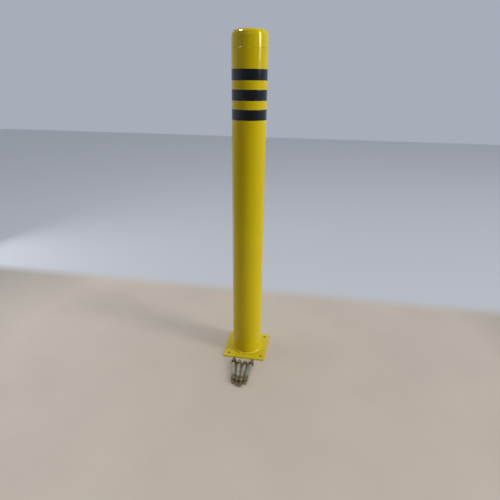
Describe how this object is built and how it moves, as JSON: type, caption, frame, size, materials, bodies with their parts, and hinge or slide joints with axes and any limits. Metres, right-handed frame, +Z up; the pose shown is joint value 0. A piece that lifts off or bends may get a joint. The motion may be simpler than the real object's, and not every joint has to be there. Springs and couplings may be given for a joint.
{
  "type": "fixed bollard",
  "caption": "Straight round steel bollard on a square bolt-down plate, with a rounded cap and dark tape bands near the top; its sleeve anchors lie loose in front of the plate.",
  "frame": {"origin": "centre of the base plate's underside, on the ground", "axes": "+Z up along the tube's axis; X and Y along the plate's edges; the loose anchors lie towards -Y"},
  "size_m": [0.15, 0.2927, 1.043],
  "materials": {
    "yellow_powder_coat": "glossy powder coat",
    "yellow_cap_plastic": "smooth moulded",
    "black_tape": "satin vinyl film",
    "gold_zinc_steel": "yellow-passivated zinc plate",
    "bright_zinc_steel": "bright zinc plate"
  },
  "bodies": {
    "post": {"post_tube": "yellow_powder_coat", "base_plate": "yellow_powder_coat", "base_weld": "yellow_powder_coat", "top_cap": "yellow_cap_plastic", "band_upper": "black_tape", "band_middle": "black_tape", "band_lower": "black_tape"},
    "stud_1": {"anchor_stud_1": "gold_zinc_steel", "anchor_cone_nut_1": "gold_zinc_steel"},
    "sleeve_1": {"anchor_sleeve_1": "bright_zinc_steel"},
    "washer_1": {"anchor_washer_1": "gold_zinc_steel"},
    "nut_1": {"anchor_nut_1": "gold_zinc_steel"},
    "stud_2": {"anchor_stud_2": "gold_zinc_steel", "anchor_cone_nut_2": "gold_zinc_steel"},
    "sleeve_2": {"anchor_sleeve_2": "bright_zinc_steel"},
    "washer_2": {"anchor_washer_2": "gold_zinc_steel"},
    "nut_2": {"anchor_nut_2": "gold_zinc_steel"},
    "stud_3": {"anchor_stud_3": "gold_zinc_steel", "anchor_cone_nut_3": "gold_zinc_steel"},
    "sleeve_3": {"anchor_sleeve_3": "bright_zinc_steel"},
    "washer_3": {"anchor_washer_3": "gold_zinc_steel"},
    "nut_3": {"anchor_nut_3": "gold_zinc_steel"},
    "stud_4": {"anchor_stud_4": "gold_zinc_steel", "anchor_cone_nut_4": "gold_zinc_steel"},
    "sleeve_4": {"anchor_sleeve_4": "bright_zinc_steel"},
    "washer_4": {"anchor_washer_4": "gold_zinc_steel"},
    "nut_4": {"anchor_nut_4": "gold_zinc_steel"}
  },
  "joints": [
    {"name": "anchor_1_lift", "type": "slide", "parent": "post", "child": "stud_1", "axis": [0, 0, 1], "range_m": [0, 0.15]},
    {"name": "sleeve_1_slide", "type": "slide", "parent": "stud_1", "child": "sleeve_1", "axis": [0.1579, -0.9868, -0.037], "range_m": [-0.0037, 0]},
    {"name": "washer_1_travel", "type": "slide", "parent": "stud_1", "child": "washer_1", "axis": [0.1579, -0.9868, -0.037], "range_m": [-0.00905, 0.00375]},
    {"name": "nut_1_turn", "type": "hinge", "parent": "washer_1", "child": "nut_1", "pos_m": [-0.02823, -0.10388, 0.00972], "axis": [0.1579, -0.9868, -0.037], "range_deg": [-2160, 888]},
    {"name": "anchor_2_lift", "type": "slide", "parent": "post", "child": "stud_2", "axis": [0, 0, 1], "range_m": [0, 0.15]},
    {"name": "sleeve_2_slide", "type": "slide", "parent": "stud_2", "child": "sleeve_2", "axis": [0.0871, -0.9955, -0.0384], "range_m": [-0.0022, 0]},
    {"name": "washer_2_travel", "type": "slide", "parent": "stud_2", "child": "washer_2", "axis": [0.0871, -0.9955, -0.0384], "range_m": [-0.00905, 0.00225]},
    {"name": "nut_2_turn", "type": "hinge", "parent": "washer_2", "child": "nut_2", "pos_m": [-0.00769, -0.11083, 0.00973], "axis": [0.0871, -0.9955, -0.0384], "range_deg": [-2160, 528]},
    {"name": "anchor_3_lift", "type": "slide", "parent": "post", "child": "stud_3", "axis": [0, 0, 1], "range_m": [0, 0.15]},
    {"name": "sleeve_3_slide", "type": "slide", "parent": "stud_3", "child": "sleeve_3", "axis": [0.0104, -0.9992, -0.0389], "range_m": [-0.0017, 0]},
    {"name": "washer_3_travel", "type": "slide", "parent": "stud_3", "child": "washer_3", "axis": [0.0104, -0.9992, -0.0389], "range_m": [-0.00605, 0.00175]},
    {"name": "nut_3_turn", "type": "hinge", "parent": "washer_3", "child": "nut_3", "pos_m": [0.01289, -0.11181, 0.00973], "axis": [0.0104, -0.9992, -0.0389], "range_deg": [-1440, 408]},
    {"name": "anchor_4_lift", "type": "slide", "parent": "post", "child": "stud_4", "axis": [0, 0, 1], "range_m": [0, 0.15]},
    {"name": "sleeve_4_slide", "type": "slide", "parent": "stud_4", "child": "sleeve_4", "axis": [-0.065, -0.9972, -0.0375], "range_m": [-0.0032, 0]},
    {"name": "washer_4_travel", "type": "slide", "parent": "stud_4", "child": "washer_4", "axis": [-0.065, -0.9972, -0.0375], "range_m": [-0.01305, 0.00325]},
    {"name": "nut_4_turn", "type": "hinge", "parent": "washer_4", "child": "nut_4", "pos_m": [0.03345, -0.10582, 0.00973], "axis": [-0.065, -0.9972, -0.0375], "range_deg": [-3120, 768]}
  ],
  "couplings": [
    {"joint": "washer_1_travel", "follows": "nut_1_turn", "m_per_rad": 0.00023873},
    {"joint": "washer_2_travel", "follows": "nut_2_turn", "m_per_rad": 0.00023873},
    {"joint": "washer_3_travel", "follows": "nut_3_turn", "m_per_rad": 0.00023873},
    {"joint": "washer_4_travel", "follows": "nut_4_turn", "m_per_rad": 0.00023873}
  ]
}
